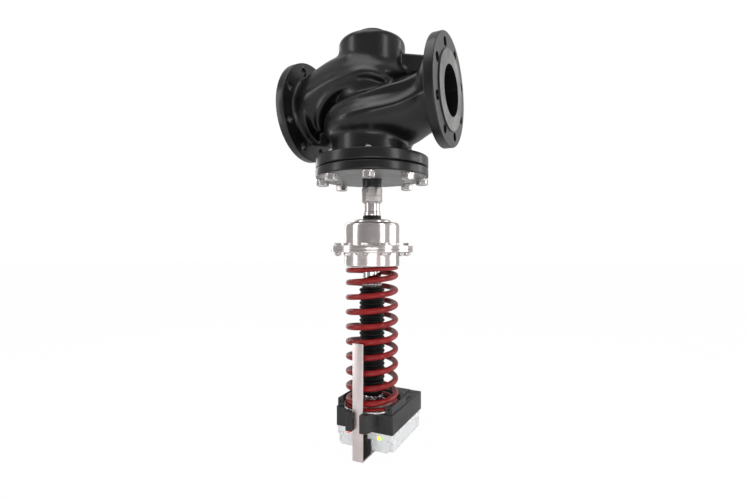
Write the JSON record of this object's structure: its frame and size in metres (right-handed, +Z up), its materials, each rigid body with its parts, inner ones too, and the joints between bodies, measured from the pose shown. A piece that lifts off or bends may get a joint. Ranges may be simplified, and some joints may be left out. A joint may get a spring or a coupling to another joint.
{
  "type": "differential pressure regulator",
  "caption": "Flanged globe valve with a diaphragm actuator, a red setting spring and a motorised setting unit hanging below it.",
  "frame": {"origin": "centre of the inlet's raised face", "axes": "+X along the pipe from the inlet to the outlet, +Z up along the spindle, away from the setting unit"},
  "size_m": [0.35, 0.2635, 0.8908],
  "materials": {
    "black_enamel": "gloss black enamel on cast iron",
    "machined_steel": "turned",
    "plated_steel": "bright zinc plated",
    "polished_steel": "polished stainless",
    "chromed_steel": "chromed",
    "brass": "turned",
    "black_rubber": "matt moulded",
    "red_spring": "gloss red powder coat",
    "satin_strip": "satin rolled sheet",
    "black_block": "smooth moulded",
    "housing_plastic": "fine moulded texture",
    "clear_plastic": "frosted clear",
    "board": "solder mask",
    "lamp_red": "lit lens",
    "lamp_yellow": "lit lens",
    "lamp_green": "lit lens"
  },
  "bodies": {
    "valve": {"valve_body": "black_enamel", "seat_ring": "machined_steel", "cover_gasket": "black_rubber", "bonnet_cover": "black_enamel", "cover_bolts": "plated_steel", "cover_washers": "plated_steel", "stem_bushes": "brass", "stem_seal": "black_rubber", "union_nut": "machined_steel", "actuator_neck": "polished_steel", "neck_ring": "black_rubber", "neck_lock_nut": "plated_steel", "upper_casing": "polished_steel", "lower_casing": "polished_steel", "casing_bolts": "plated_steel", "casing_nuts": "plated_steel", "sleeve_bush": "brass", "sleeve_seal": "black_rubber", "impulse_fittings": "brass", "diaphragm": "black_rubber"},
    "stem": {"valve_plug": "machined_steel", "plug_seal": "black_rubber", "plug_nut": "plated_steel", "valve_stem": "polished_steel", "diaphragm_plate_upper": "machined_steel", "diaphragm_plate_lower": "machined_steel", "plate_nut": "plated_steel", "spindle_sleeve": "chromed_steel", "spindle_spacer": "machined_steel", "ball_cage": "machined_steel", "bearing_balls": "chromed_steel", "adjusting_spindle": "machined_steel", "guide_strip": "satin_strip", "stop_block": "black_block", "strip_screws": "plated_steel", "spindle_screw": "plated_steel", "bellows_boot": "black_rubber", "setting_spring": "red_spring"},
    "setting_unit": {"lower_spring_plate": "polished_steel", "setting_housing": "housing_plastic", "housing_deck": "housing_plastic", "deck_screws": "plated_steel", "thrust_washer": "brass", "gear_motor": "machined_steel", "circuit_board": "board", "red_indicator": "lamp_red", "yellow_indicator": "lamp_yellow", "green_indicators": "lamp_green", "clear_cover": "clear_plastic", "cover_screws": "plated_steel", "cable_gland": "black_block"},
    "nut": {"adjusting_nut": "chromed_steel"},
    "pinion": {"motor_pinion": "brass"}
  },
  "joints": [
    {"name": "valve_stroke", "type": "slide", "parent": "valve", "child": "stem", "axis": [0, 0, 1], "range_m": [0, 0.015], "deforming": ["diaphragm", "setting_spring"]},
    {"name": "setpoint_travel", "type": "slide", "parent": "stem", "child": "setting_unit", "axis": [0, 0, 1], "range_m": [0, 0.1], "deforming": ["bellows_boot", "setting_spring"]},
    {"name": "nut_turn", "type": "hinge", "parent": "setting_unit", "child": "nut", "pos_m": [0.175, 0, -0.655], "axis": [0, 0, 1], "range_deg": [0, 9000]},
    {"name": "pinion_turn", "type": "hinge", "parent": "setting_unit", "child": "pinion", "pos_m": [0.175, 0.0375, -0.658], "axis": [0, 0, 1], "range_deg": [-36000, 0]}
  ],
  "couplings": [
    {"joint": "nut_turn", "follows": "setpoint_travel", "rad_per_m": 1570.8},
    {"joint": "pinion_turn", "follows": "setpoint_travel", "rad_per_m": -6283.2}
  ]
}
